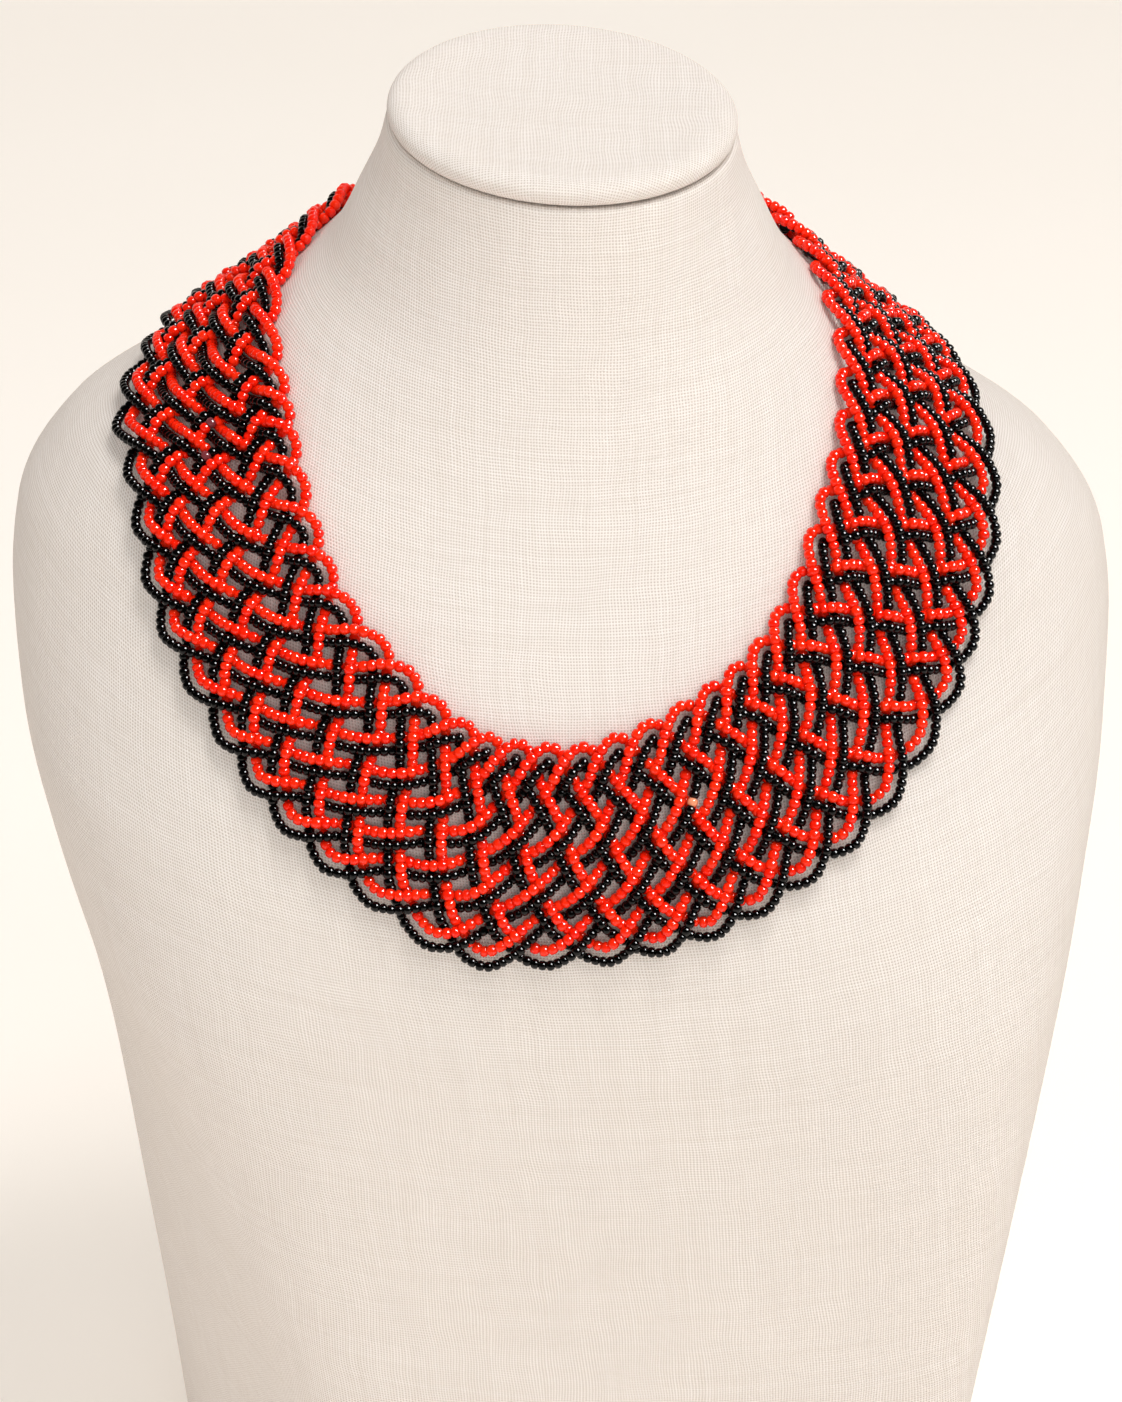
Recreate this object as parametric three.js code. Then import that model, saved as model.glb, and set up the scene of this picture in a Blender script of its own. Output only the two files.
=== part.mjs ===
// Braided bead collar on a plain linen neck bust. Millimetres, +Z up, front towards -Y.
// The bust stands on its flat base. The collar is a flat braid of eight strands, each of which
// weaves over one and under one round the whole loop, and a plain bar clasp closes it behind.
import * as THREE from 'three';

// Bust sizes.
const BUST_HEIGHT = 450;
const NECK_RADIUS = 47.5;
const SHOULDER_HALF_WIDTH = 156.5;
const CHEST_DEPTH = 131;
const BACK_DEPTH = 81;
const PANEL_LEAN = 30;
const RINGS_ABOVE_CHEST = 26;
const RINGS_BELOW_CHEST = 8;
const BUST_SIDES = 56;

// Neck cap sizes.
const CAP_THICKNESS = 6.5;
const CAP_SEAM = 0.3;
const CAP_SIDES = 32;

// Strand sizes. Each strand is two strings of beads side by side, and its solid is a flat
// lozenge that lies inside them, so that the strands keep clear of each other at the crossings.
const STRAND_WIDTH = 3.8;
const STRAND_THICKNESS = 1.6;
const CROSSING_GAP = 1.7;
const SKIN_GAP = 0.75;

// Braid counts: strands, and outer scallops round the loop.
const STRANDS = 8;
const SCALLOPS = 50;
const SHORTEST_STEP = 0.05;

// Clasp sizes.
const CLASP_WIDTH = 8;
const CLASP_THICKNESS = 5.2;
const CLASP_OVERHANG = 3;
const CLASP_BEVEL = 1.5;
const CLASP_GAP = 0.9;
const CLASP_STEPS = 8;

const BODY_COLOUR = 0xe9e1d6;
const STRAND_COLOUR = 0xd8321f;
const CLASP_COLOUR = 0x8f8f90;

// Sections of the bust, from the neck's top down: half is a share of the shoulder's half width,
// front of the chest depth and back of the back depth, and tiltSide and tiltFront are the
// slopes of the section's plane.
const BUST_SECTIONS = [
  { drop: 0.006, half: 0.3035, front: 0.355, back: 0.573, tiltSide: 0.058, tiltFront: 0.165 },
  { drop: 0.027, half: 0.3195, front: 0.368, back: 0.600, tiltSide: 0.060, tiltFront: 0.190 },
  { drop: 0.056, half: 0.3580, front: 0.386, back: 0.654, tiltSide: 0.060, tiltFront: 0.195 },
  { drop: 0.089, half: 0.4090, front: 0.412, back: 0.741, tiltSide: 0.055, tiltFront: 0.165 },
  { drop: 0.122, half: 0.5110, front: 0.450, back: 0.827, tiltSide: 0.050, tiltFront: 0.130 },
  { drop: 0.167, half: 0.6960, front: 0.519, back: 0.914, tiltSide: 0.045, tiltFront: 0.085 },
  { drop: 0.211, half: 0.9010, front: 0.603, back: 0.951, tiltSide: 0.040, tiltFront: 0.045 },
  { drop: 0.256, half: 0.9840, front: 0.702, back: 0.975, tiltSide: 0.038, tiltFront: 0.020 },
  { drop: 0.300, half: 1.0000, front: 0.794, back: 0.988, tiltSide: 0.033, tiltFront: 0.000 },
  { drop: 0.356, half: 0.9870, front: 0.885, back: 1.000, tiltSide: 0.027, tiltFront: 0.000 },
  { drop: 0.422, half: 0.9520, front: 0.954, back: 1.000, tiltSide: 0.020, tiltFront: 0.000 },
  { drop: 0.500, half: 0.9140, front: 0.992, back: 0.988, tiltSide: 0.012, tiltFront: 0.000 },
  { drop: 0.600, half: 0.8750, front: 1.000, back: 0.975, tiltSide: 0.006, tiltFront: 0.000 },
  { drop: 0.733, half: 0.8370, front: 1.000, back: 0.963, tiltSide: 0.000, tiltFront: 0.000 },
  { drop: 0.867, half: 0.7990, front: 0.992, back: 0.951, tiltSide: 0.000, tiltFront: 0.000 },
  { drop: 1.000, half: 0.7670, front: 0.985, back: 0.938, tiltSide: 0.000, tiltFront: 0.000 },
];

// How the round sections turn into a front panel with corners. squareFront and squareBack are
// the powers of the oval, splay draws the front corners in, and panel is the share of
// PANEL_LEAN that the panel moves sideways.
const BUST_CORNERS = [
  { drop: 0.000, squareFront: 2.0, squareBack: 2.0, splay: 0.00, panel: 0.00 },
  { drop: 0.089, squareFront: 2.0, squareBack: 2.0, splay: 0.00, panel: 0.00 },
  { drop: 0.122, squareFront: 2.0, squareBack: 2.1, splay: 0.00, panel: 0.00 },
  { drop: 0.167, squareFront: 2.0, squareBack: 2.2, splay: 0.00, panel: 0.00 },
  { drop: 0.211, squareFront: 2.05, squareBack: 2.4, splay: 0.00, panel: 0.00 },
  { drop: 0.256, squareFront: 2.1, squareBack: 2.5, splay: 0.00, panel: 0.00 },
  { drop: 0.300, squareFront: 2.3, squareBack: 2.6, splay: 0.00, panel: 0.06 },
  { drop: 0.356, squareFront: 3.0, squareBack: 2.7, splay: 0.05, panel: 0.20 },
  { drop: 0.422, squareFront: 4.5, squareBack: 2.8, splay: 0.15, panel: 0.37 },
  { drop: 0.500, squareFront: 7.0, squareBack: 2.9, splay: 0.24, panel: 0.53 },
  { drop: 0.600, squareFront: 10.0, squareBack: 3.0, splay: 0.32, panel: 0.70 },
  { drop: 0.733, squareFront: 14.0, squareBack: 3.0, splay: 0.40, panel: 0.85 },
  { drop: 0.867, squareFront: 17.0, squareBack: 3.0, splay: 0.45, panel: 0.95 },
  { drop: 1.000, squareFront: 18.0, squareBack: 3.0, splay: 0.50, panel: 1.00 },
];

// The collar's two edges, laid on the bust: the lines that the strands' middles turn on.
// scallop counts from the clasp's left side round the front, azimuths are in degrees from the
// front towards +X, and drops are shares of the bust's height.
const COLLAR_EDGES = [
  { scallop: 0, innerAzimuth: -180, innerDrop: 0.088, outerAzimuth: -180, outerDrop: 0.173 },
  { scallop: 3, innerAzimuth: -149, innerDrop: 0.090, outerAzimuth: -150, outerDrop: 0.173 },
  { scallop: 6, innerAzimuth: -117, innerDrop: 0.099, outerAzimuth: -122, outerDrop: 0.172 },
  { scallop: 9, innerAzimuth: -86, innerDrop: 0.117, outerAzimuth: -95, outerDrop: 0.173 },
  { scallop: 11, innerAzimuth: -66.5, innerDrop: 0.138, outerAzimuth: -77.5, outerDrop: 0.189 },
  { scallop: 12, innerAzimuth: -60.8, innerDrop: 0.149, outerAzimuth: -69.7, outerDrop: 0.201 },
  { scallop: 13, innerAzimuth: -56.6, innerDrop: 0.160, outerAzimuth: -64.1, outerDrop: 0.221 },
  { scallop: 15, innerAzimuth: -45.7, innerDrop: 0.197, outerAzimuth: -54.2, outerDrop: 0.270 },
  { scallop: 17, innerAzimuth: -36.4, innerDrop: 0.235, outerAzimuth: -43.1, outerDrop: 0.315 },
  { scallop: 19, innerAzimuth: -24.9, innerDrop: 0.269, outerAzimuth: -34.3, outerDrop: 0.353 },
  { scallop: 21, innerAzimuth: -15.9, innerDrop: 0.296, outerAzimuth: -25.2, outerDrop: 0.388 },
  { scallop: 23, innerAzimuth: -8.5, innerDrop: 0.307, outerAzimuth: -13.6, outerDrop: 0.421 },
  { scallop: 25, innerAzimuth: 0.2, innerDrop: 0.309, outerAzimuth: 0.9, outerDrop: 0.417 },
  { scallop: 27, innerAzimuth: 10, innerDrop: 0.299, outerAzimuth: 14.1, outerDrop: 0.401 },
  { scallop: 29, innerAzimuth: 20.2, innerDrop: 0.281, outerAzimuth: 26.4, outerDrop: 0.371 },
  { scallop: 31, innerAzimuth: 29.1, innerDrop: 0.260, outerAzimuth: 38.5, outerDrop: 0.335 },
  { scallop: 33, innerAzimuth: 37.9, innerDrop: 0.229, outerAzimuth: 51.6, outerDrop: 0.287 },
  { scallop: 35, innerAzimuth: 47.8, innerDrop: 0.189, outerAzimuth: 61, outerDrop: 0.242 },
  { scallop: 37, innerAzimuth: 58.9, innerDrop: 0.156, outerAzimuth: 71.8, outerDrop: 0.196 },
  { scallop: 39, innerAzimuth: 72.5, innerDrop: 0.126, outerAzimuth: 88.4, outerDrop: 0.171 },
  { scallop: 41, innerAzimuth: 91, innerDrop: 0.106, outerAzimuth: 104, outerDrop: 0.165 },
  { scallop: 44, innerAzimuth: 121, innerDrop: 0.098, outerAzimuth: 126.5, outerDrop: 0.170 },
  { scallop: 47, innerAzimuth: 150, innerDrop: 0.090, outerAzimuth: 151, outerDrop: 0.173 },
  { scallop: 50, innerAzimuth: 180, innerDrop: 0.088, outerAzimuth: 180, outerDrop: 0.173 },
];

// One wave of a strand: scallops past its outer turn, and how far across the band it is there,
// 0 on the inner edge and 1 on the outer. It turns inside where across is 0. The first and last
// rows repeat the other end, so that the turn at 0 is round.
const STRAND_WAVE = [
  { past: -0.25, across: 0.985 },
  { past: 0, across: 1.000 },
  { past: 0.27, across: 0.966 },
  { past: 0.86, across: 0.839 },
  { past: 1.5, across: 0.747 },
  { past: 2.15, across: 0.625 },
  { past: 2.42, across: 0.570 },
  { past: 3.07, across: 0.474 },
  { past: 3.51, across: 0.393 },
  { past: 3.74, across: 0.338 },
  { past: 4.56, across: 0.146 },
  { past: 4.88, across: 0.060 },
  { past: 5.37, across: 0.000 },
  { past: 5.59, across: 0.019 },
  { past: 5.71, across: 0.073 },
  { past: 5.95, across: 0.160 },
  { past: 6.38, across: 0.335 },
  { past: 6.6, across: 0.515 },
  { past: 6.76, across: 0.628 },
  { past: 7.09, across: 0.782 },
  { past: 7.25, across: 0.862 },
  { past: 7.5, across: 0.930 },
  { past: 7.75, across: 0.985 },
  { past: 8, across: 1.000 },
  { past: 8.27, across: 0.966 },
];

// The cap's half outline, as shares of the neck radius and of the cap's thickness.
const CAP_OUTLINE = [
  { radius: 0.000, height: 0.00 },
  { radius: 0.950, height: 0.00 },
  { radius: 0.985, height: 0.14 },
  { radius: 1.000, height: 0.40 },
  { radius: 0.990, height: 0.70 },
  { radius: 0.950, height: 0.93 },
  { radius: 0.880, height: 1.00 },
  { radius: 0.780, height: 0.95 },
  { radius: 0.600, height: 0.87 },
  { radius: 0.300, height: 0.82 },
  { radius: 0.000, height: 0.81 },
];

// Slope of a smooth curve at row i that never overshoots the rows: the weighted harmonic mean
// of the slopes on both sides, or 0 where they differ in sign.
function rowSlope(rows, key, column, i) {
  const slope = (j) => (rows[j + 1][column] - rows[j][column]) / (rows[j + 1][key] - rows[j][key]);
  if (i === 0) return slope(0);
  if (i === rows.length - 1) return slope(rows.length - 2);
  const before = slope(i - 1);
  const after = slope(i);
  if (before * after <= 0) return 0;
  const stepBefore = rows[i][key] - rows[i - 1][key];
  const stepAfter = rows[i + 1][key] - rows[i][key];
  const weightBefore = 2 * stepAfter + stepBefore;
  const weightAfter = stepAfter + 2 * stepBefore;
  return (weightBefore + weightAfter) / (weightBefore / before + weightAfter / after);
}

// The value of one column between the rows, by a cubic with those slopes.
function readTable(rows, key, column, at) {
  let i = 0;
  while (i < rows.length - 2 && rows[i + 1][key] < at) i += 1;
  const step = rows[i + 1][key] - rows[i][key];
  const t = (at - rows[i][key]) / step;
  const start = rowSlope(rows, key, column, i) * step;
  const end = rowSlope(rows, key, column, i + 1) * step;
  const rise = rows[i + 1][column] - rows[i][column];
  return rows[i][column] + t * (start + t * (3 * rise - 2 * start - end + t * (start + end - 2 * rise)));
}

// A point of the bust's skin: drop is a share of the height and azimuth is in radians.
function bustPoint(drop, azimuth) {
  const section = (column) => readTable(BUST_SECTIONS, 'drop', column, drop);
  const corner = (column) => readTable(BUST_CORNERS, 'drop', column, drop);
  const sine = Math.sin(azimuth);
  const cosine = Math.cos(azimuth);
  const inFront = cosine > 0;
  const depth = inFront ? section('front') * CHEST_DEPTH : section('back') * BACK_DEPTH;
  const power = inFront ? corner('squareFront') : corner('squareBack');
  const splay = inFront ? corner('splay') * cosine * cosine : 0;
  const half = section('half') * SHOULDER_HALF_WIDTH * (1 - splay);
  const radius = (Math.abs(sine / half) ** power + Math.abs(cosine / depth) ** power) ** (-1 / power);
  const x = radius * sine;
  const y = -radius * cosine;
  const forward = Math.max(0, -y / CHEST_DEPTH);
  const lean = corner('panel') * PANEL_LEAN * forward * forward;
  const z = BUST_HEIGHT * (1 - drop) - section('tiltSide') * x + section('tiltFront') * y;
  return new THREE.Vector3(x + lean, y, z);
}

// The skin's outward normal at the same place.
function bustNormal(drop, azimuth) {
  const dropStep = 0.002;
  const azimuthStep = 0.01;
  const down = bustPoint(drop + dropStep, azimuth).sub(bustPoint(drop - dropStep, azimuth));
  const round = bustPoint(drop, azimuth + azimuthStep).sub(bustPoint(drop, azimuth - azimuthStep));
  return down.cross(round).normalize();
}

// A closed body through rings of points, with a middle point closing each end.
function loftRings(rings) {
  const sides = rings[0].length;
  const positions = [];
  const index = [];
  const middle = (ring) => ring.reduce((sum, p) => sum.add(p), new THREE.Vector3()).divideScalar(sides);
  for (const ring of rings) for (const p of ring) positions.push(p.x, p.y, p.z);
  for (let i = 0; i < rings.length - 1; i += 1) {
    for (let j = 0; j < sides; j += 1) {
      const here = i * sides + j;
      const next = i * sides + ((j + 1) % sides);
      index.push(here, here + sides, next, next, here + sides, next + sides);
    }
  }
  const first = middle(rings[0]);
  const last = middle(rings[rings.length - 1]);
  const firstIndex = rings.length * sides;
  positions.push(first.x, first.y, first.z, last.x, last.y, last.z);
  const lastRing = (rings.length - 1) * sides;
  for (let j = 0; j < sides; j += 1) {
    const next = (j + 1) % sides;
    index.push(firstIndex, j, next);
    index.push(firstIndex + 1, lastRing + next, lastRing + j);
  }
  const geometry = new THREE.BufferGeometry();
  geometry.setAttribute('position', new THREE.Float32BufferAttribute(positions, 3));
  geometry.setIndex(index);
  geometry.computeVertexNormals();
  return geometry;
}

// The bust: rings close together down to the chest's fullest row, and wider apart below it.
function bustBody() {
  const top = BUST_SECTIONS[0].drop;
  const chest = BUST_SECTIONS.find((row) => row.front === 1).drop;
  const rings = [];
  const addRing = (drop) => {
    const ring = [];
    for (let j = 0; j < BUST_SIDES; j += 1) ring.push(bustPoint(drop, (j / BUST_SIDES) * 2 * Math.PI));
    rings.push(ring);
  };
  for (let i = 0; i < RINGS_ABOVE_CHEST; i += 1) addRing(top + ((chest - top) * i) / RINGS_ABOVE_CHEST);
  for (let i = 0; i <= RINGS_BELOW_CHEST; i += 1) addRing(chest + ((1 - chest) * i) / RINGS_BELOW_CHEST);
  return loftRings(rings);
}

// The padded disc on the neck's top, in the plane of the first section.
function neckCap() {
  const outline = CAP_OUTLINE.map(
    (row) => new THREE.Vector2(row.radius * NECK_RADIUS, CAP_SEAM + row.height * CAP_THICKNESS),
  );
  const geometry = new THREE.LatheGeometry(outline, CAP_SIDES);
  const top = BUST_SECTIONS[0];
  const axis = new THREE.Vector3(top.tiltSide, -top.tiltFront, 1).normalize();
  geometry.applyQuaternion(new THREE.Quaternion().setFromUnitVectors(new THREE.Vector3(0, 1, 0), axis));
  geometry.translate(0, 0, BUST_HEIGHT * (1 - top.drop));
  return geometry;
}

// Where a strand is across the band, any number of scallops past its outer turn.
function strandAcross(scallops) {
  const past = ((scallops % STRANDS) + STRANDS) % STRANDS;
  return readTable(STRAND_WAVE, 'past', 'across', past);
}

// Where a strand on its way inwards meets the strand that turns outside `later` scallops on.
function meeting(later) {
  let low = 0;
  let high = STRAND_WAVE.find((row) => row.across === 0).past;
  for (let i = 0; i < 50; i += 1) {
    const half = (low + high) / 2;
    if (strandAcross(half) > strandAcross(half - later)) low = half;
    else high = half;
  }
  return (low + high) / 2;
}

// One full wave of a strand from its outer turn: stations in scallops, with the height that
// the strand has there, 1 over another, -1 under it and 0 at the two edges.
function waveStations() {
  const stations = [];
  for (let later = 1; later < STRANDS; later += 1) {
    const over = later % 2 === 1 ? 1 : -1;
    const at = meeting(later);
    stations.push({ at, height: over });
    stations.push({ at: at - later + STRANDS, height: -over });
  }
  const lastIn = meeting(STRANDS - 1);
  const firstOut = lastIn + 1;
  const lastOut = meeting(1) - 1;
  const firstIn = meeting(1);
  for (const share of [0.25, 0.5, 0.75]) {
    stations.push({ at: lastOut + (firstIn - lastOut) * share, height: 2 * share - 1 });
    stations.push({ at: lastIn + (firstOut - lastIn) * share, height: 1 - 2 * share });
  }
  for (const station of stations) station.at = (station.at + STRANDS) % STRANDS;
  return stations.sort((a, b) => a.at - b.at);
}

// A point of the braid: scallop along the loop, across from the inner to the outer edge, and
// height above the bust's skin.
function braidPoint(scallop, across, height) {
  const read = (column) => readTable(COLLAR_EDGES, 'scallop', column, scallop);
  const degrees = THREE.MathUtils.lerp(read('innerAzimuth'), read('outerAzimuth'), across);
  const azimuth = THREE.MathUtils.degToRad(degrees);
  const drop = THREE.MathUtils.lerp(read('innerDrop'), read('outerDrop'), across);
  return bustPoint(drop, azimuth).addScaledVector(bustNormal(drop, azimuth), height);
}

const STEP_HEIGHT = (STRAND_THICKNESS + CROSSING_GAP) / 2;
const MIDDLE_HEIGHT = SKIN_GAP + STRAND_THICKNESS / 2 + STEP_HEIGHT;

// Length of the band from its inner to its outer edge at a scallop.
function bandWidth(scallop) {
  return braidPoint(scallop, 0, MIDDLE_HEIGHT).distanceTo(braidPoint(scallop, 1, MIDDLE_HEIGHT));
}

// Scallops that half the clasp, its gap and a slanting strand's half width take up at an end.
function claspReach(across) {
  const near = 0.5;
  const length = braidPoint(0, across, MIDDLE_HEIGHT).distanceTo(braidPoint(near, across, MIDDLE_HEIGHT));
  return ((CLASP_WIDTH / 2 + CLASP_GAP + STRAND_WIDTH / 2) * near) / length;
}

// A line laid over the bust, given by stations in scallops, shares across the band and heights
// above the skin. Its frames lie flat: the first direction points across the line, to the neck
// on a strand, and the second away from the skin.
class SkinLine extends THREE.Curve {
  constructor(stations) {
    super();
    this.stations = stations;
    this.points = stations.map((station) => braidPoint(station.at, station.across, station.height));
  }

  getPoint(t, target = new THREE.Vector3()) {
    return target.copy(this.points[Math.round(t * (this.points.length - 1))]);
  }

  getPointAt(t, target) {
    return this.getPoint(t, target);
  }

  computeFrenetFrames() {
    const last = this.points.length - 1;
    const tangents = this.points.map((_, i) => {
      const before = this.points[Math.max(0, i - 1)];
      return this.points[Math.min(last, i + 1)].clone().sub(before).normalize();
    });
    const normals = tangents.map((tangent, i) => {
      const { at, across } = this.stations[i];
      const away = braidPoint(at, across, 1).sub(braidPoint(at, across, 0));
      return away.cross(tangent).normalize();
    });
    const binormals = tangents.map((tangent, i) => tangent.clone().cross(normals[i]).normalize());
    return { tangents, normals, binormals };
  }

  carry(corners) {
    const section = new THREE.Shape(corners.map(([across, away]) => new THREE.Vector2(across, away)));
    return new THREE.ExtrudeGeometry(section, {
      steps: this.points.length - 1,
      extrudePath: this,
      bevelEnabled: false,
    });
  }
}

// The height of a strand's wave, in crossing heights, any number of scallops past a turn.
function waveHeight(wave, scallops) {
  const x = ((scallops % STRANDS) + STRANDS) % STRANDS;
  const last = wave[wave.length - 1];
  const after = wave.find((station) => station.at > x) ?? { ...wave[0], at: wave[0].at + STRANDS };
  const before = wave.findLast((station) => station.at <= x) ?? { ...last, at: last.at - STRANDS };
  return THREE.MathUtils.lerp(before.height, after.height, (x - before.at) / (after.at - before.at));
}

// A strand: a flat lozenge section carried round the loop from one side of the clasp to the
// other, with a station at each crossing and three in each turn.
function strandBody(strand) {
  const wave = waveStations();
  const start = claspReach(strandAcross(-strand));
  const end = SCALLOPS - claspReach(strandAcross(SCALLOPS - strand));
  const places = [start, end];
  for (let turn = strand - STRANDS; turn < SCALLOPS; turn += STRANDS) {
    for (const station of wave) {
      const at = turn + station.at;
      if (at > start + SHORTEST_STEP && at < end - SHORTEST_STEP) places.push(at);
    }
  }
  places.sort((a, b) => a - b);
  const line = new SkinLine(places.map((at) => ({
    at,
    across: strandAcross(at - strand),
    height: MIDDLE_HEIGHT + STEP_HEIGHT * waveHeight(wave, at - strand),
  })));
  return line.carry([
    [STRAND_WIDTH / 2, 0],
    [0, STRAND_THICKNESS / 2],
    [-STRAND_WIDTH / 2, 0],
    [0, -STRAND_THICKNESS / 2],
  ]);
}

// The bar clasp at the nape: a flat bar that follows the skin across the whole band.
function claspBar() {
  const overhang = (STRAND_WIDTH / 2 + CLASP_OVERHANG) / bandWidth(0);
  const stations = [];
  for (let i = 0; i <= CLASP_STEPS; i += 1) {
    const across = 1 + overhang - ((1 + 2 * overhang) * i) / CLASP_STEPS;
    stations.push({ at: 0, across, height: MIDDLE_HEIGHT });
  }
  const half = CLASP_WIDTH / 2;
  const thick = CLASP_THICKNESS / 2;
  return new SkinLine(stations).carry([
    [half, -thick],
    [half, thick - CLASP_BEVEL],
    [half - CLASP_BEVEL, thick],
    [CLASP_BEVEL - half, thick],
    [-half, thick - CLASP_BEVEL],
    [-half, -thick],
  ]);
}

function addPiece(group, name, geometry, colour, roughness, metalness) {
  const material = new THREE.MeshStandardMaterial({ color: colour, roughness, metalness });
  const mesh = new THREE.Mesh(geometry, material);
  mesh.name = name;
  group.add(mesh);
}

const group = new THREE.Group();
addPiece(group, 'bust_body', bustBody(), BODY_COLOUR, 0.9, 0);
addPiece(group, 'neck_cap', neckCap(), BODY_COLOUR, 0.9, 0);
for (let strand = 0; strand < STRANDS; strand += 1) {
  addPiece(group, `strand_${strand + 1}`, strandBody(strand), STRAND_COLOUR, 0.3, 0);
}
addPiece(group, 'clasp', claspBar(), CLASP_COLOUR, 0.35, 1);

// The origin is the middle of the whole part's footprint, on the base.
const bounds = new THREE.Box3().setFromObject(group);
const middle = bounds.getCenter(new THREE.Vector3());
group.position.set(-middle.x, -middle.y, 0);

export default group;
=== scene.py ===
"""Braided seed bead collar on a linen neck bust: the looks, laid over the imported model.

Shapes are worked out in millimetres round the neck's axis, with the front towards -Y, and are
put into the meshes in metres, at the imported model's own place.
"""

import bpy
import numpy as np
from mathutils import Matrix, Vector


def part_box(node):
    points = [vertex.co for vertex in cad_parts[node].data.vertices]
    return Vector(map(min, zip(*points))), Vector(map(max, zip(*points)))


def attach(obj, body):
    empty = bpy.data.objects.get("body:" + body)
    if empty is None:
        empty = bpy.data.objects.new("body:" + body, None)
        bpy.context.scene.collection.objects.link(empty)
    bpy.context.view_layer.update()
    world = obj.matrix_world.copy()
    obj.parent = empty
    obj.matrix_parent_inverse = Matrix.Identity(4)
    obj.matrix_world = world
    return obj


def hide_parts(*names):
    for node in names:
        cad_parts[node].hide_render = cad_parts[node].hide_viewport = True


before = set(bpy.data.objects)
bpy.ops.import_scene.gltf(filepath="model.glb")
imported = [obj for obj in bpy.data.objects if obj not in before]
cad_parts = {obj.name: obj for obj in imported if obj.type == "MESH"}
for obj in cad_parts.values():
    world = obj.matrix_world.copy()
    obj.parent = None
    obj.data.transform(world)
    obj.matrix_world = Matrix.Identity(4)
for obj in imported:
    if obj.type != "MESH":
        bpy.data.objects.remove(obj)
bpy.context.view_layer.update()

MM = 0.001

# Bust and cap, in mm.
BUST_HEIGHT = 450
NECK_RADIUS = 47.5
SHOULDER_HALF_WIDTH = 156.5
CHEST_DEPTH = 131
BACK_DEPTH = 81
PANEL_LEAN = 30
CAP_THICKNESS = 6.5
CAP_SEAM = 0.3
ROUND_EDGE = 1.4
END_RING_SHARE = 9

# Braid, in mm and in scallops of the outer edge.
RED_BEAD = 3.2
BLACK_BEAD = 2.9
RED_PITCH = 2.45
BLACK_PITCH = 2.1
RED_ASIDE = 1.45
BLACK_ASIDE = -1.85
OUTER_SLACK = 0.9
INNER_SLACK = 0.8
TURN_LENGTH = 0.6
STRANDS = 8
SCALLOPS = 50
STEP_HEIGHT = 1.65
MIDDLE_HEIGHT = 3.2
CLASP_REACH = 7
THREAD = 0.5
THREAD_SIDES = 4
PATH_POINTS = 6001
PATH_POINTS_PER_THREAD_RING = 12
HALVINGS = 50

# Sections of the bust: drop from the neck's top as a share of the height, half width, front and
# back as shares of the named sizes, and the slopes of the section's plane.
BUST_SECTIONS = np.array([
    # drop, half, front, back, tilt_side, tilt_front
    [0.006, 0.3035, 0.355, 0.573, 0.058, 0.165],
    [0.027, 0.3195, 0.368, 0.600, 0.060, 0.190],
    [0.056, 0.3580, 0.386, 0.654, 0.060, 0.195],
    [0.089, 0.4090, 0.412, 0.741, 0.055, 0.165],
    [0.122, 0.5110, 0.450, 0.827, 0.050, 0.130],
    [0.167, 0.6960, 0.519, 0.914, 0.045, 0.085],
    [0.211, 0.9010, 0.603, 0.951, 0.040, 0.045],
    [0.256, 0.9840, 0.702, 0.975, 0.038, 0.020],
    [0.300, 1.0000, 0.794, 0.988, 0.033, 0.000],
    [0.356, 0.9870, 0.885, 1.000, 0.027, 0.000],
    [0.422, 0.9520, 0.954, 1.000, 0.020, 0.000],
    [0.500, 0.9140, 0.992, 0.988, 0.012, 0.000],
    [0.600, 0.8750, 1.000, 0.975, 0.006, 0.000],
    [0.733, 0.8370, 1.000, 0.963, 0.000, 0.000],
    [0.867, 0.7990, 0.992, 0.951, 0.000, 0.000],
    [1.000, 0.7670, 0.985, 0.938, 0.000, 0.000],
])
BUST_CORNERS = np.array([
    # drop, square_front, square_back, splay, panel
    [0.000, 2.00, 2.0, 0.00, 0.00],
    [0.089, 2.00, 2.0, 0.00, 0.00],
    [0.122, 2.00, 2.1, 0.00, 0.00],
    [0.167, 2.00, 2.2, 0.00, 0.00],
    [0.211, 2.05, 2.4, 0.00, 0.00],
    [0.256, 2.10, 2.5, 0.00, 0.00],
    [0.300, 2.30, 2.6, 0.00, 0.06],
    [0.356, 3.00, 2.7, 0.05, 0.20],
    [0.422, 4.50, 2.8, 0.15, 0.37],
    [0.500, 7.00, 2.9, 0.24, 0.53],
    [0.600, 10.00, 3.0, 0.32, 0.70],
    [0.733, 14.00, 3.0, 0.40, 0.85],
    [0.867, 17.00, 3.0, 0.45, 0.95],
    [1.000, 18.00, 3.0, 0.50, 1.00],
])

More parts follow.
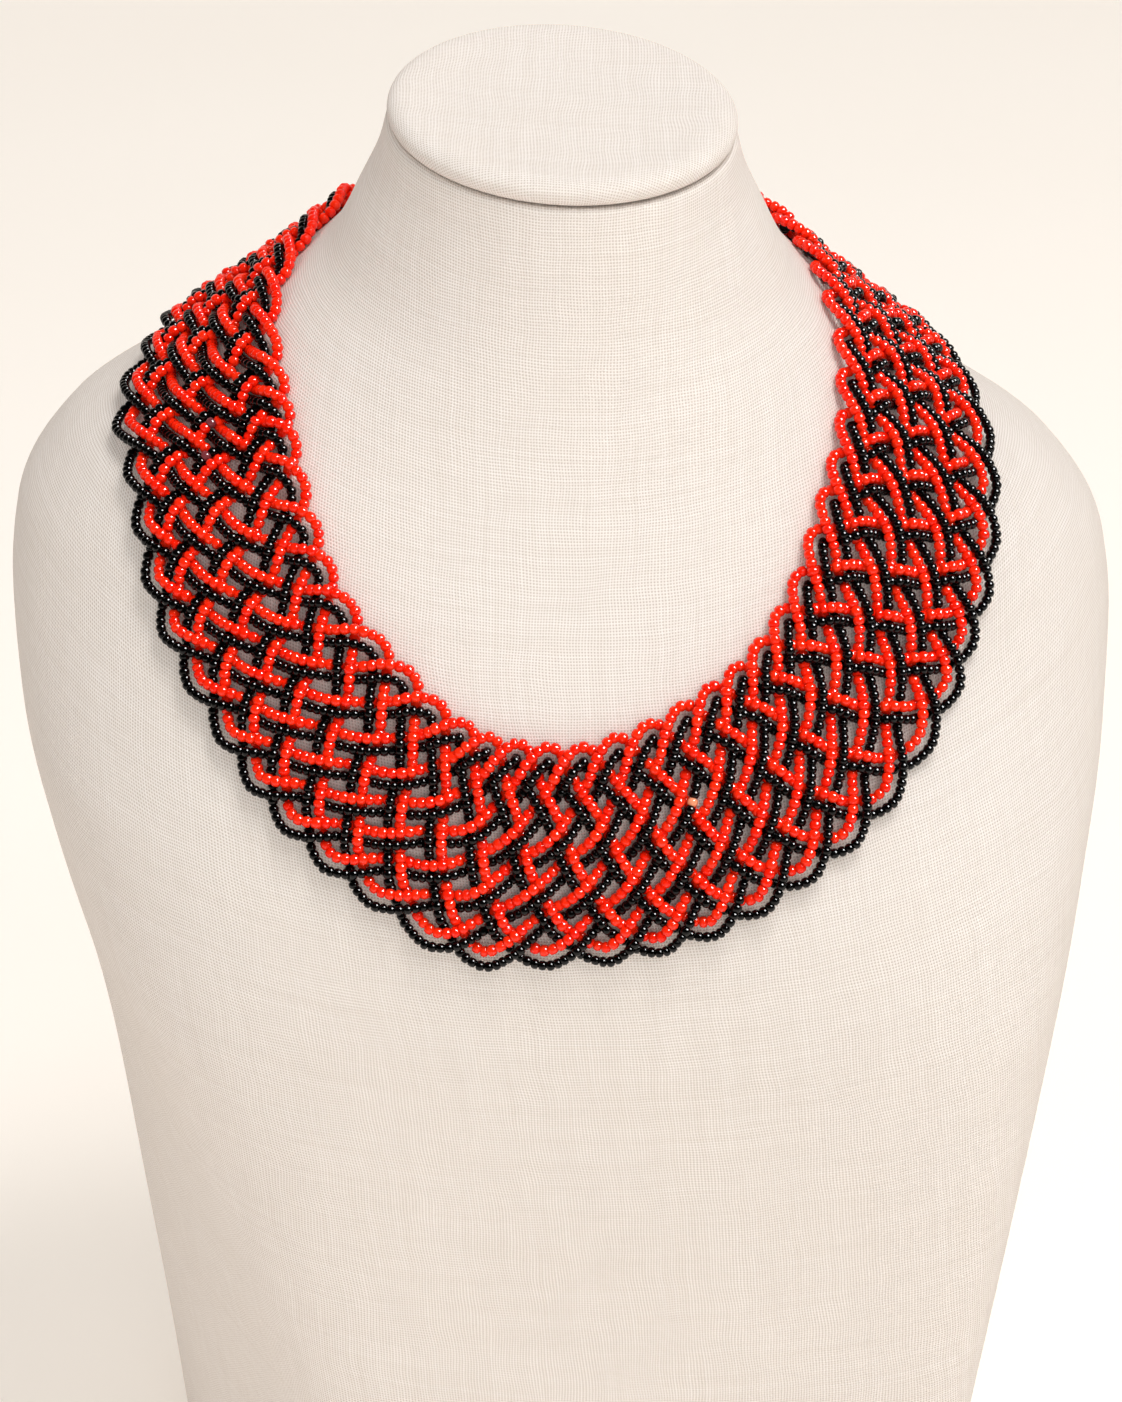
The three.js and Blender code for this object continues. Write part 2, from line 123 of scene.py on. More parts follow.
# The collar's edges on the bust: scallop, then azimuth in degrees and drop of the inner edge,
# then of the outer one.
COLLAR_EDGES = np.array([
    # scallop, inner_azimuth, inner_drop, outer_azimuth, outer_drop
    [0, -180, 0.088, -180, 0.173],
    [3, -149, 0.090, -150, 0.173],
    [6, -117, 0.099, -122, 0.172],
    [9, -86, 0.117, -95, 0.173],
    [11, -66.5, 0.138, -77.5, 0.189],
    [12, -60.8, 0.149, -69.7, 0.201],
    [13, -56.6, 0.160, -64.1, 0.221],
    [15, -45.7, 0.197, -54.2, 0.270],
    [17, -36.4, 0.235, -43.1, 0.315],
    [19, -24.9, 0.269, -34.3, 0.353],
    [21, -15.9, 0.296, -25.2, 0.388],
    [23, -8.5, 0.307, -13.6, 0.421],
    [25, 0.2, 0.309, 0.9, 0.417],
    [27, 10, 0.299, 14.1, 0.401],
    [29, 20.2, 0.281, 26.4, 0.371],
    [31, 29.1, 0.260, 38.5, 0.335],
    [33, 37.9, 0.229, 51.6, 0.287],
    [35, 47.8, 0.189, 61, 0.242],
    [37, 58.9, 0.156, 71.8, 0.196],
    [39, 72.5, 0.126, 88.4, 0.171],
    [41, 91, 0.106, 104, 0.165],
    [44, 121, 0.098, 126.5, 0.170],
    [47, 150, 0.090, 151, 0.173],
    [50, 180, 0.088, 180, 0.173],
])

# One wave of a strand: scallops past its outer turn, then its share across the band. The first
# and last rows repeat the other end, so that the turn at 0 is round.
STRAND_WAVE = np.array([
    # past, across
    [-0.25, 0.985],
    [0, 1.000],
    [0.27, 0.966],
    [0.86, 0.839],
    [1.5, 0.747],
    [2.15, 0.625],
    [2.42, 0.570],
    [3.07, 0.474],
    [3.51, 0.393],
    [3.74, 0.338],
    [4.56, 0.146],
    [4.88, 0.060],
    [5.37, 0.000],
    [5.59, 0.019],
    [5.71, 0.073],
    [5.95, 0.160],
    [6.38, 0.335],
    [6.6, 0.515],
    [6.76, 0.628],
    [7.09, 0.782],
    [7.25, 0.862],
    [7.5, 0.930],
    [7.75, 0.985],
    [8, 1.000],
    [8.27, 0.966],
])

# The cap's half outline: radius as a share of the neck radius, height of the cap's thickness.
CAP_OUTLINE = np.array([
    [0.900, 0.00],
    [0.955, 0.02],
    [0.985, 0.14],
    [1.000, 0.40],
    [0.996, 0.62],
    [0.975, 0.83],
    [0.935, 0.97],
    [0.880, 1.00],
    [0.800, 0.96],
    [0.650, 0.88],
    [0.400, 0.83],
    [0.150, 0.81],
    [0.000, 0.81],
])


def unit(vectors):
    """Each vector divided by its own length."""
    return vectors / np.linalg.norm(vectors, axis=-1, keepdims=True)


def read_table(rows, at):
    """Each column of a table at the places `at`. Between two rows it is a cubic whose slopes at
    the rows are the weighted harmonic means of the steps' slopes, so it never overshoots."""
    key, columns = rows[:, 0], rows[:, 1:]
    step = np.diff(key)[:, None]
    slope = np.diff(columns, axis=0) / step
    before, after = slope[:-1], slope[1:]
    weight_before = 2 * step[1:] + step[:-1]
    weight_after = step[1:] + 2 * step[:-1]
    same_way = before * after > 0
    safe_before = np.where(same_way, before, 1)
    safe_after = np.where(same_way, after, 1)
    mean = (weight_before + weight_after) / (weight_before / safe_before + weight_after / safe_after)
    tangent = np.vstack([slope[:1], np.where(same_way, mean, 0), slope[-1:]])
    i = np.clip(np.searchsorted(key, at, side="right") - 1, 0, len(key) - 2)
    t = ((at - key[i]) / step[i, 0])[..., None]
    start, end, rise = tangent[i] * step[i], tangent[i + 1] * step[i], columns[i + 1] - columns[i]
    value = columns[i] + t * (start + t * (3 * rise - 2 * start - end + t * (start + end - 2 * rise)))
    return np.moveaxis(value, -1, 0)


def bust_skin(drop, azimuth):
    """Points of the bust's skin. In each section the radius at an azimuth a is
    (|sin a / half width|^n + |cos a / depth|^n)^(-1/n), drawn in at the front corners, with the
    front panel moved sideways by the square of how far forward it lies."""
    half, front, back, tilt_side, tilt_front = read_table(BUST_SECTIONS, drop)
    square_front, square_back, splay, panel = read_table(BUST_CORNERS, drop)
    sine, cosine = np.sin(azimuth), np.cos(azimuth)
    ahead = cosine > 0
    depth = np.where(ahead, front * CHEST_DEPTH, back * BACK_DEPTH)
    power = np.where(ahead, square_front, square_back)
    width = half * SHOULDER_HALF_WIDTH * (1 - np.where(ahead, splay * cosine ** 2, 0))
    radius = (np.abs(sine / width) ** power + np.abs(cosine / depth) ** power) ** (-1 / power)
    x, y = radius * sine, -radius * cosine
    z = BUST_HEIGHT * (1 - drop) - tilt_side * x + tilt_front * y
    lean = panel * PANEL_LEAN * np.maximum(0, -y / CHEST_DEPTH) ** 2
    return np.stack([x + lean, y, z], -1)


def skin_normal(drop, azimuth):
    """Outward normal of the bust's skin: the cross product of its slopes down and round."""
    down = bust_skin(drop + 0.002, azimuth) - bust_skin(drop - 0.002, azimuth)
    around = bust_skin(drop, azimuth + 0.01) - bust_skin(drop, azimuth - 0.01)
    return unit(np.cross(down, around))


def collar_places(scallop, across):
    """Drop, azimuth: straight from the inner edge (across = 0) to the outer edge (1)."""
    inner_azimuth, inner_drop, outer_azimuth, outer_drop = read_table(COLLAR_EDGES, scallop)
    azimuth = np.radians(inner_azimuth + (outer_azimuth - inner_azimuth) * across)
    return inner_drop + (outer_drop - inner_drop) * across, azimuth


def strand_across(scallops):
    """Share across the band of a strand, so many scallops past its outer turn."""
    return read_table(STRAND_WAVE, np.mod(scallops, STRANDS))[0]


def crossings():
    """One wave of a strand: the scallops past its outer turn at which it crosses the others, and
    1 where it lies over them or -1 under. It meets the strand that turns n scallops later where
    both are equally far across, which halving an interval finds for all n at once."""
    later = np.arange(1, STRANDS)
    inner_turn = STRAND_WAVE[STRAND_WAVE[:, 1].argmin(), 0]
    low, high = np.zeros(STRANDS - 1), np.full(STRANDS - 1, inner_turn)
    for _ in range(HALVINGS):
        middle = (low + high) / 2
        outside = strand_across(middle) > strand_across(middle - later)
        low, high = np.where(outside, middle, low), np.where(outside, high, middle)
    over = np.where(later % 2 == 1, 1, -1)
    at = np.concatenate([low, low - later + STRANDS]) % STRANDS
    height = np.concatenate([over, -over])
    order = np.argsort(at)
    return at[order], height[order]


def wave_height(scallops):
    """Height of a strand's wave, from -1 under to 1 over: between two crossings it follows
    3t^2 - 2t^3, so it is level on each crossing."""
    at, height = crossings()
    at = np.concatenate([at[-1:] - STRANDS, at, at[:1] + STRANDS])
    height = np.concatenate([height[-1:], height, height[:1]])
    x = np.mod(scallops, STRANDS)
    i = np.clip(np.searchsorted(at, x, side="right") - 1, 0, len(at) - 2)
    t = (x - at[i]) / (at[i + 1] - at[i])
    return height[i] + (height[i + 1] - height[i]) * (3 * t ** 2 - 2 * t ** 3)


def string_path(strand, aside, outer_slack=0.0, inner_slack=0.0):
    """The middle line of one string and its directions away from the skin and towards the neck.
    The strand's line lies on the skin at its wave's height, and the string is `aside` from it
    towards the neck, less a slack s exp(-(x / TURN_LENGTH)^2) x scallops from each turn."""
    scallop = np.linspace(0, SCALLOPS, PATH_POINTS)
    past = np.mod(scallop - strand, STRANDS)
    inner_turn = STRAND_WAVE[STRAND_WAVE[:, 1].argmin(), 0]
    outer_turn = np.minimum(past, STRANDS - past)
    across = strand_across(past)
    drop, azimuth = collar_places(scallop, across)
    away = skin_normal(drop, azimuth)
    height = MIDDLE_HEIGHT + STEP_HEIGHT * wave_height(past)
    line = bust_skin(drop, azimuth) + away * height[:, None]
    to_neck = unit(np.cross(away, np.gradient(line, axis=0)))
    slack = outer_slack * np.exp(-((outer_turn / TURN_LENGTH) ** 2))
    slack = slack + inner_slack * np.exp(-(((past - inner_turn) / TURN_LENGTH) ** 2))
    line = line + to_neck * (aside - slack)[:, None]
    clear = np.hypot(line[:, 0], np.maximum(0, -line[:, 1]) * 10) > CLASP_REACH
    return line[clear], away[clear], to_neck[clear]


def at_lengths(line, lengths, *fields):
    """The line's points, and the other fields' values, at these lengths along it."""
    along = np.concatenate([[0], np.cumsum(np.linalg.norm(np.diff(line, axis=0), axis=1))])
    wanted = lengths * along[-1]
    axes = range(3)
    return [np.stack([np.interp(wanted, along, f[:, k]) for k in axes], -1) for f in (line, *fields)]


def closed_tube(rings):
    """Quads between rings of points that go right round, for an array of shape ring, side, 3."""
    count, sides = rings.shape[:2]
    here = np.arange(count - 1)[:, None] * sides + np.arange(sides)
    ahead = np.arange(count - 1)[:, None] * sides + (np.arange(sides) + 1) % sides
    return np.stack([here, ahead, ahead + sides, here + sides], -1).reshape(-1, 4)


def place_mesh(name, points, faces, maps=None, tones=None):
    """A mesh from points in mm round the neck's axis and lists of faces with equal corners."""
    mesh = bpy.data.meshes.new(name)
    points = (points.reshape(-1, 3) + AXIS_PLACE) * MM
    corners = np.concatenate([f.ravel() for f in faces]).astype(np.int32)
    sizes = np.concatenate([np.full(len(f), f.shape[1]) for f in faces]).astype(np.int32)
    starts = np.concatenate([[0], np.cumsum(sizes)[:-1]]).astype(np.int32)
    mesh.vertices.add(len(points))
    mesh.vertices.foreach_set("co", points.astype(np.float32).ravel())
    mesh.loops.add(len(corners))
    mesh.loops.foreach_set("vertex_index", corners)
    mesh.polygons.add(len(sizes))
    mesh.polygons.foreach_set("loop_start", starts)
    if maps is not None:
        layer = mesh.uv_layers.new(name="threads")
        layer.data.foreach_set("uv", maps.astype(np.float32).ravel())
    if tones is not None:
        mesh.attributes.new("tone", "FLOAT", "POINT").data.foreach_set("value", tones.astype(np.float32))
    mesh.update(calc_edges=True)
    mesh.shade_smooth()
    piece = bpy.data.objects.new(name, mesh)
    bpy.context.collection.objects.link(piece)
    return piece


# Odd beads: scallop, share across and tone, where 2 is a pale bead and 3 a dull mauve one.
ODD_BEADS = np.array([
    # scallop, across, tone
    [12.0, 0.05, 2],
    [11.6, 0.51, 3],
    [12.6, 0.53, 3],
    [10.3, 0.76, 3],
    [27.7, 0.40, 2],
    [35.4, 0.62, 2],
])
ODD_REACH = 1.8

# One bead: rings along its hole, as shares of its length from the middle and of its radius.
BEAD_RINGS = np.array([[-0.5, 0.45], [-0.37, 0.84], [0, 1], [0.37, 0.84], [0.5, 0.45]])
BEAD_SIDES = 10


def bead_string(name, path, width, pitch, seed):
    """One string of beads as a joined mesh. Bead m is a lathe round the string's direction t:
    c_m + s L_m t + r R_m (cos a towards the neck + sin a away from the skin), with the lengths
    L_m and radii R_m a little uneven. A thread runs through all of the holes."""
    chance = np.random.default_rng(seed)
    line, away, to_neck = path
    total = np.linalg.norm(np.diff(line, axis=0), axis=1).sum()
    count = int(total / pitch)
    uneven = 1 + 0.07 * chance.standard_normal(count).clip(-2, 2)
    share = np.cumsum(uneven) / uneven.sum()
    middle = share - uneven / uneven.sum() / 2
    centres, up, side = at_lengths(line, middle, away, to_neck)
    along = unit(np.cross(side, up))
    along = unit(along + 0.05 * chance.standard_normal(along.shape))
    side = unit(np.cross(up, along))
    up = np.cross(along, side)
    length = uneven * total / uneven.sum() * 1.02
    radius = width / 2 * (1 + 0.035 * chance.standard_normal(count).clip(-2, 2))
    angle = np.arange(BEAD_SIDES) * 2 * np.pi / BEAD_SIDES
    spokes = np.cos(angle)[:, None] * side[:, None] + np.sin(angle)[:, None] * up[:, None]
    rings = (
        centres[:, None, None]
        + (BEAD_RINGS[:, 0] * length[:, None])[..., None, None] * along[:, None, None]
        + (BEAD_RINGS[:, 1] * radius[:, None])[..., None, None] * spokes[:, None]
    )
    template = np.zeros((len(BEAD_RINGS), BEAD_SIDES, 3))
    first = np.arange(count)[:, None, None] * len(BEAD_RINGS) * BEAD_SIDES
    walls = (closed_tube(template)[None] + first).reshape(-1, 4)
    end_ring = (len(BEAD_RINGS) - 1) * BEAD_SIDES
    ends = np.stack([np.arange(BEAD_SIDES)[::-1], np.arange(BEAD_SIDES) + end_ring])
    ends = (ends[None] + first).reshape(-1, BEAD_SIDES)
    tones = np.repeat(odd_tones(centres, chance.random(count)), len(BEAD_RINGS) * BEAD_SIDES)
    thread = thread_tube(line, away, to_neck)
    thread_walls = closed_tube(thread) + rings.size // 3
    sides = thread.shape[1]
    last = thread_walls.max() - sides + 1
    thread_ends = np.stack([np.arange(sides)[::-1] + rings.size // 3, np.arange(sides) + last])
    points = np.concatenate([rings.reshape(-1, 3), thread.reshape(-1, 3)])
    tones = np.concatenate([tones, np.full(thread.size // 3, 0.5)])
    return place_mesh(name, points, [walls, ends, thread_walls, thread_ends], tones=tones)


def odd_tones(centres, tones):
    """The beads' tones, changed for beads within ODD_REACH of an odd bead's place on the braid."""
    drop, azimuth = collar_places(ODD_BEADS[:, 0], ODD_BEADS[:, 1])
    top = MIDDLE_HEIGHT + STEP_HEIGHT
    places = bust_skin(drop, azimuth) + skin_normal(drop, azimuth) * top
    for place, tone in zip(places, ODD_BEADS[:, 2]):
        tones[np.linalg.norm(centres - place, axis=1) < ODD_REACH] = tone
    return tones


def thread_tube(line, away, to_neck):
    """Rings of THREAD_SIDES points round the string's middle line, about 2 mm apart."""
    steps = max(2, len(line) // PATH_POINTS_PER_THREAD_RING)
    centres, up, side = at_lengths(line, np.linspace(0, 1, steps), away, to_neck)
    angle = np.arange(THREAD_SIDES) * 2 * np.pi / THREAD_SIDES
    spokes = np.cos(angle)[:, None] * side[:, None] + np.sin(angle)[:, None] * up[:, None]
    return centres[:, None] + spokes * THREAD / 2


class Value:
    """A number or colour that changes over a surface: one node's output. Python's operators on
    it add Math nodes."""

    def __init__(self, finish, socket):
        self.finish, self.socket = finish, socket

    def math(self, operation, *others):
        return self.finish.put("ShaderNodeMath", {"operation": operation}, [self, *others])

    def __add__(self, other):
        return self.math("ADD", other)

    __radd__ = __add__

    def __mul__(self, other):
        return self.math("MULTIPLY", other)

    __rmul__ = __mul__

    def __sub__(self, other):
        return self.math("SUBTRACT", other)

    def __rsub__(self, other):
        return self.finish.put("ShaderNodeMath", {"operation": "SUBTRACT"}, [other, self])

    def __truediv__(self, other):
        return self.math("DIVIDE", other)

    def sine(self):
        return self.math("SINE")

    def whole(self):
        return self.math("FLOOR")

    def greater(self, other):
        return self.math("GREATER_THAN", other)

    def part(self, output):
        return Value(self.finish, self.socket.node.outputs[output])


class Finish:
    """A material under construction. put() adds any node from its type, its settings and the
    values or links of its sockets."""

    def __init__(self, name):
        self.material = bpy.data.materials.new(name)
        self.material.use_nodes = True
        self.tree = self.material.node_tree
        self.tree.nodes.clear()

    def put(self, kind, settings=None, inputs=(), output=0):
        node = self.tree.nodes.new(kind)
        for key, setting in (settings or {}).items():
            setattr(node, key, setting)
        for key, value in inputs.items() if isinstance(inputs, dict) else enumerate(inputs):
            if isinstance(value, Value):
                self.tree.links.new(value.socket, node.inputs[key])
            else:
                node.inputs[key].default_value = value
        return Value(self, node.outputs[output])

    def mix(self, share, first, second):
        """Colour between two colours."""
        return self.put("ShaderNodeMix", {"data_type": "RGBA"}, {0: share, 6: first, 7: second}, 2)

    def noise(self, place, scale, detail=2.0):
        return self.put("ShaderNodeTexNoise", {}, {"Vector": place, "Scale": scale, "Detail": detail})

    def bump(self, height, distance, strength=1.0):
        inputs = {"Height": height, "Distance": distance, "Strength": strength}
        return self.put("ShaderNodeBump", {}, inputs)

    def done(self, **sockets):
        """The surface: sockets' names with spaces as underscores, straight on the shader."""
        inputs = {key.replace("_", " "): value for key, value in sockets.items()}
        surface = self.put("ShaderNodeBsdfPrincipled", {}, inputs)
        self.put_output(surface)
        return self.material

    def put_output(self, surface):
        output = self.tree.nodes.new("ShaderNodeOutputMaterial")
        self.tree.links.new(surface.socket, output.inputs[0])


def colour(red, green, blue):
    """A colour given as the screen's 0 to 255, as the shader's own numbers."""
    screen = np.array([red, green, blue]) / 255
    light = np.where(screen <= 0.04045, screen / 12.92, ((screen + 0.055) / 1.055) ** 2.4)
    return (*light.tolist(), 1.0)


def linen_cover():
    """Fine plain weave. Threads run both ways 0.8 mm apart; each passes over and under in turn, the
    pores between them are painted darker as painted shade, and single threads are thicker or paler than
    the rest."""
    cloth = Finish("cream_linen")
    place = cloth.put("ShaderNodeUVMap", {"uv_map": "threads"})
    pitch = 0.8
    drift = cloth.noise(place, 0.05, 1.0) - 0.5
    split = cloth.put("ShaderNodeSeparateXYZ", {}, [place])
    across, down = split + drift * 3.0, split.part(1) + drift * 2.0
    warp_turn, weft_turn = across * (np.pi / pitch), down * (np.pi / pitch)
    warp, weft = warp_turn.sine(), weft_turn.sine()
    warp_body, weft_body = warp * warp, weft * weft
    over = (warp_turn + np.pi / 2).sine() * (weft_turn + np.pi / 2).sine()
    pores = (1 - warp_body) * (1 - weft_body)
    warp_row = cloth.put("ShaderNodeCombineXYZ", {}, [(across / pitch).whole(), down * 0.02, 0.0])
    weft_row = cloth.put("ShaderNodeCombineXYZ", {}, [across * 0.02, (down / pitch).whole(), 7.0])
    warp_tone, weft_tone = cloth.noise(warp_row, 0.9), cloth.noise(weft_row, 0.9)
    tone = warp_tone * 0.5 + weft_tone * 0.5
    broad = cloth.noise(place, 0.03, 3.0)
    thread = cloth.mix(tone, colour(220, 210, 200), colour(247, 242, 238))
    thread = cloth.mix(broad * 0.35, thread, colour(236, 226, 216))
    # Painted shade: the pores between the threads are darkened towards a brown grey, standing in for the
    # shade that falls into them.
    base = cloth.mix(pores * 0.75, thread, colour(174, 153, 137))
    height = (warp_body + weft_body) * 0.35 + over * 0.12 - pores * 0.3 + tone * 0.5
    normal = cloth.bump(height, 0.00018, 0.8)
    return cloth.done(Base_Color=base, Roughness=0.9, Normal=normal, Specular_IOR_Level=0.05)


def glass_beads(name, dark, light, roughness, shine):
    """Opaque glossy glass, each bead a little different in colour."""
    glass = Finish(name)
    tone = glass.put("ShaderNodeAttribute", {"attribute_name": "tone"}, {}, 2)
    place = glass.put("ShaderNodeTexCoord", {}, {}, 3)
    cloudy = glass.noise(place, 900.0, 2.0)
    base = glass.mix(tone * 0.8 + cloudy * 0.2, dark, light)
    base = glass.mix(tone.greater(1.5), base, colour(236, 150, 110))
    base = glass.mix(tone.greater(2.5), base, colour(120, 52, 58))
    return glass.done(Base_Color=base, Roughness=roughness, IOR=1.5, Specular_IOR_Level=shine)


def clasp_metal():
    """Satin steel with fine brushing along the bar."""
    steel = Finish("satin_clasp")
    place = steel.put("ShaderNodeTexCoord", {}, {}, 3)
    stretch = (6000.0, 6000.0, 150.0)
    stretched = steel.put("ShaderNodeVectorMath", {"operation": "MULTIPLY"}, [place, stretch])
    brushing = steel.noise(stretched, 1.0, 2.0)
    rough = 0.28 + brushing * 0.15
    return steel.done(
        Base_Color=(0.55, 0.54, 0.52, 1.0), Metallic=1.0, Roughness=rough,
        Normal=steel.bump(brushing, 0.00002, 0.4)
    )


def row_uv(points):
    """Cloth coordinates in mm over a grid of rings: lengths round each ring from its first
    column, and down each column from the first ring."""
    around = np.linalg.norm(np.diff(points, axis=1), axis=2).cumsum(axis=1)
    around = np.concatenate([np.zeros((len(points), 1)), around], axis=1)
    down = np.linalg.norm(np.diff(points, axis=0), axis=2).cumsum(axis=0)
    down = np.concatenate([np.zeros((1, points.shape[1])), down], axis=0)
    return np.stack([around, down], -1)


def grid_faces(rows, columns):
    """Quads of a grid of points whose last column lies on its first."""
    here = np.arange(rows - 1)[:, None] * columns + np.arange(columns - 1)
    return np.stack([here, here + columns, here + columns + 1, here + 1], -1).reshape(-1, 4)


def bust_shape():
    """The linen bust: rings of bust_skin from under the cap to the base. The two ends turn in
    over a small round edge and close on a flat face. Its seam runs down the back."""
    azimuth = np.linspace(-np.pi, np.pi, 241)
    drop = np.concatenate([np.linspace(BUST_SECTIONS[0, 0], 0.6, 150), np.linspace(0.6, 1.0, 41)[1:]])
    skin = bust_skin(drop[:, None], np.broadcast_to(azimuth, (len(drop), len(azimuth))))
    turn = np.linspace(np.pi / 2, 0, 6)
    top = end_rings(skin[0], skin[1], ROUND_EDGE, turn)
    base = end_rings(skin[-1], skin[-2], ROUND_EDGE, turn)[::-1]
    rings = np.concatenate([top, skin[1:-1], base])
    rows, columns = rings.shape[:2]
    faces = grid_faces(rows, columns)
    half = columns // 2
    around = row_uv(rings)
    around[..., 0] -= around[:, half:half + 1, 0]
    maps = around.reshape(-1, 2)[faces.ravel()]
    merged = np.where(np.arange(columns) == columns - 1, 0, np.arange(columns))
    names = (np.arange(rows)[:, None] * (columns - 1) + merged).ravel()
    points = rings[:, :-1]
    ends = np.stack([
        np.arange(columns - 1),
        np.arange(columns - 1)[::-1] + (rows - 1) * (columns - 1),
    ])
    end_maps = points.reshape(-1, 3)[ends.ravel()][:, :2]
    return place_mesh("linen_bust", points, [names[faces], ends], maps=np.concatenate([maps, end_maps]))


def end_rings(last, inner, edge, turn):
    """Rings of a small round edge, by the angle t of its quarter circle: the end ring, drawn in
    by edge (1 - cos t) and moved towards the next ring by edge (1 - sin t). One more ring lies
    further in on the flat end."""
    middle = last[:-1].mean(axis=0)
    inwards = unit((middle - last) * [1, 1, 0])
    along = unit(inner - last)
    turn = turn[:, None, None]
    curve = last + inwards * edge * (1 - np.cos(turn)) + along * edge * (1 - np.sin(turn))
    return np.concatenate([(last + inwards * edge * END_RING_SHARE)[None], curve])


def cap_shape():
    """The cap: its outline turned round the neck's axis, in the plane of the first section.
    Cloth coordinates spread from the middle, so the weave is flat on top and wraps the rim."""
    sides = 128
    rows = read_profile(CAP_OUTLINE, 48)
    radius, height = rows[:, 0] * NECK_RADIUS, CAP_SEAM + rows[:, 1] * CAP_THICKNESS
    angle = np.arange(sides + 1) * 2 * np.pi / sides
    flat = np.stack([
        radius[:-1, None] * np.cos(angle),
        radius[:-1, None] * np.sin(angle),
        np.broadcast_to(height[:-1, None], (len(radius) - 1, sides + 1)),
    ], -1)
    up = unit(np.array([BUST_SECTIONS[0, 4], -BUST_SECTIONS[0, 5], 1.0]))
    right = unit(np.cross([0, 1, 0], up))
    back = np.cross(up, right)
    rings = flat @ np.stack([right, back, up]) + [0, 0, BUST_HEIGHT * (1 - BUST_SECTIONS[0, 0])]
    spread = np.linalg.norm(np.diff(rows * [NECK_RADIUS, CAP_THICKNESS], axis=0), axis=1)
    reach = spread[::-1].cumsum()[::-1]
    maps = reach[:, None, None] * np.stack([np.cos(angle), np.sin(angle)], -1)
    count, columns = rings.shape[:2]
    faces = grid_faces(count, columns)[:, ::-1]
    merged = np.where(np.arange(columns) == columns - 1, 0, np.arange(columns))
    names = (np.arange(count)[:, None] * (columns - 1) + merged).ravel()
    ends = np.stack([np.arange(sides)[::-1], np.arange(sides) + (count - 1) * sides])
    flat_maps = maps[:, :-1].reshape(-1, 2)[ends.ravel()]
    face_maps = maps.reshape(-1, 2)[faces.ravel()]
    maps = np.concatenate([face_maps, flat_maps])
    return place_mesh("linen_cap", rings[:, :-1], [names[faces], ends], maps=maps)


def read_profile(rows, count):
    """A smooth run through an outline's rows: each column by read_table over the row numbers."""
    table = np.column_stack([np.arange(len(rows)), rows])
    return read_table(table, np.linspace(0, len(rows) - 1, count)).T


def dress(piece, material, slot, *nodes):
    piece.data.materials.clear()
    piece.data.materials.append(material)
    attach(piece, "root")
    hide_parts(*nodes)


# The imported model's place of the neck's axis: the chest's foremost point lies on it.
AXIS_PLACE = np.array([0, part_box("bust_body")[0][1] / MM + CHEST_DEPTH, 0])

LINEN = linen_cover()
RED_GLASS = glass_beads("red_bead_glass", colour(244, 24, 3), colour(255, 46, 12), 0.12, 0.4)
BLACK_GLASS = glass_beads("black_bead_glass", colour(2, 2, 2), colour(8, 7, 7), 0.12, 0.25)

bust = bust_shape()
dress(bust, LINEN, "linen_cover", "bust_body")
cap = cap_shape()
dress(cap, LINEN, "linen_cover", "neck_cap")
for strand in range(STRANDS):
    node = f"strand_{strand + 1}"
    path = string_path(strand, RED_ASIDE)
    red = bead_string(f"red_string_{strand + 1}", path, RED_BEAD, RED_PITCH, 10 + strand)
    dress(red, RED_GLASS, "seed_beads", node)
    path = string_path(strand, BLACK_ASIDE, OUTER_SLACK, INNER_SLACK)
    black = bead_string(f"black_string_{strand + 1}", path, BLACK_BEAD, BLACK_PITCH, 30 + strand)
    dress(black, BLACK_GLASS, "seed_beads", node)
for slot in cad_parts["clasp"].material_slots:
    slot.material = clasp_metal()

# Floor and backdrop with a painted glow, light and camera.
floor_finish = Finish("pale_glowing_floor")
floor_place = floor_finish.put("ShaderNodeTexCoord", {}, {}, 3)
floor_tone = floor_finish.noise(floor_place, 1.5, 2.0)
# Painted light: the floor and backdrop glow with a weak warm emission, which brightens them and lights
# the bust though they are no lamp.
PALE_GLOWING_SWEEP = floor_finish.done(
    Base_Color=floor_finish.mix(floor_tone, colour(244, 236, 226), colour(250, 244, 236)), Roughness=0.9,
    Emission_Color=(1.0, 0.93, 0.86, 1.0), Emission_Strength=0.17
)


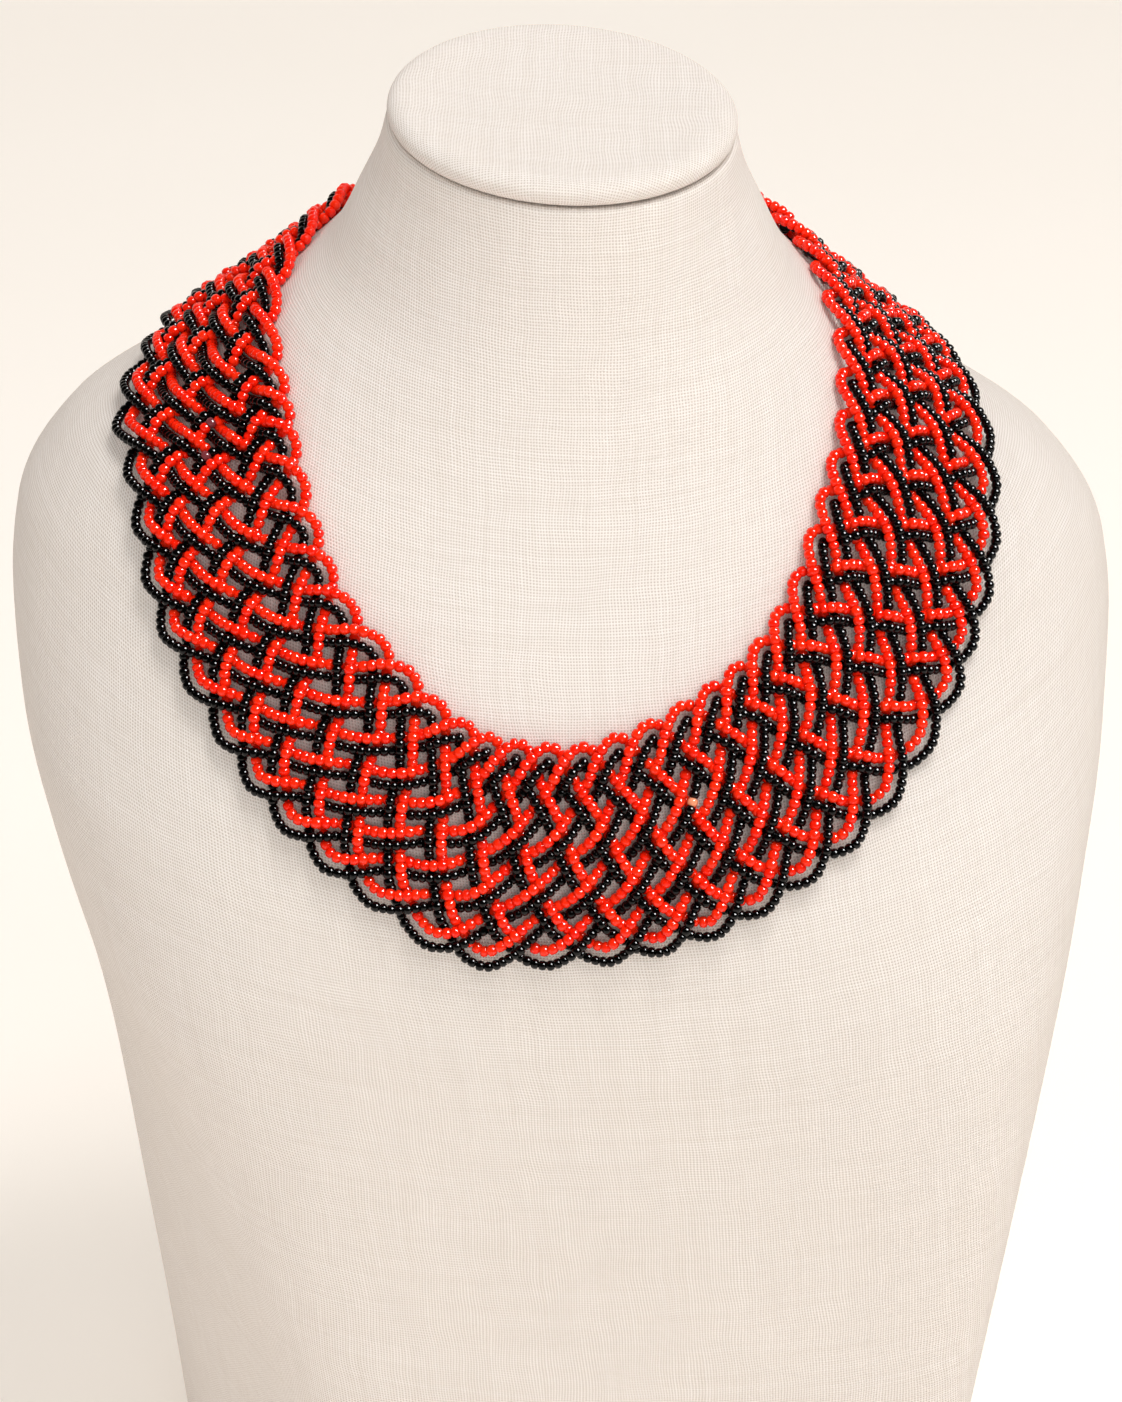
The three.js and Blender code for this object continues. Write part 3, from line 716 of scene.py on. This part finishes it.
def sweep():
    """Floor and backdrop in one: a flat floor, a quarter circle and a wall, carried along X."""
    turn = np.linspace(0, np.pi / 2, 25)
    reach, rise, bend = 3200.0, 3500.0, 1200.0
    y = np.concatenate([[-4200.0], reach - bend + bend * np.sin(turn), [reach]])
    z = np.concatenate([[0.0], bend - bend * np.cos(turn), [rise]])
    x = np.linspace(-5000.0, 5000.0, 3)
    grid = np.stack([np.broadcast_to(x, (len(y), 3)), np.broadcast_to(y[:, None], (len(y), 3)),
                     np.broadcast_to(z[:, None], (len(y), 3))], -1)
    return place_mesh("studio_sweep", grid, [grid_faces(len(y), 3)[:, ::-1]])


backdrop = sweep()
backdrop.data.materials.append(PALE_GLOWING_SWEEP)


def soft_light(name, place, target, size, power, tint, glossy=False):
    """A square panel of light at a place in metres, turned to a target. It either lights
    surfaces or, when glossy, shows only as a reflection in them."""
    lamp = bpy.data.lights.new(name, "AREA")
    lamp.shape, lamp.size, lamp.energy, lamp.color = "SQUARE", size, power, tint
    panel = bpy.data.objects.new(name, lamp)
    panel.visible_glossy, panel.visible_diffuse = glossy, not glossy
    panel.location = place
    way = np.array(place) - np.array(target)
    flat = np.hypot(way[0], way[1])
    panel.rotation_euler = (np.arctan2(flat, way[2]), 0, np.arctan2(way[0], -way[1]))
    bpy.context.collection.objects.link(panel)


soft_light("key_light", (0.85, -1.0, 1.75), (0, -0.1, 0.33), 0.42, 4, (1.0, 1.0, 1.0))
soft_light("top_light", (0.5, -0.3, 2.1), (0, -0.1, 0.33), 0.6, 15, (1.0, 1.0, 1.0))
soft_light("front_light", (0.2, -1.9, 0.8), (0, -0.1, 0.33), 1.0, 8, (1.0, 1.0, 1.0))
soft_light("window", (1.14, -0.58, 1.89), (0, -0.1, 0.33), 1.1, 200, (0.97, 0.98, 1.0), glossy=True)

world = bpy.data.worlds.new("studio_air")
world.use_nodes = True
world.node_tree.nodes["Background"].inputs["Color"].default_value = (1.0, 1.0, 1.0, 1.0)
world.node_tree.nodes["Background"].inputs["Strength"].default_value = 0.6
world.cycles_visibility.glossy = False
bpy.context.scene.world = world
bpy.context.scene.view_settings.view_transform = "Standard"

# The photo's camera: 28 degrees down, 3600 of its pixels to the focal length.
lens = bpy.data.cameras.new("photo_view")
lens.sensor_fit = "VERTICAL"
lens.sensor_height = 24
lens.lens = 24 * 3600 / 1402
camera = bpy.data.objects.new("photo_view", lens)
camera.location = (np.array([-0.27, -933.7, 766.5]) + AXIS_PLACE) * MM
camera.rotation_euler = (np.radians(62), 0, 0)
bpy.context.collection.objects.link(camera)
bpy.context.scene.camera = camera
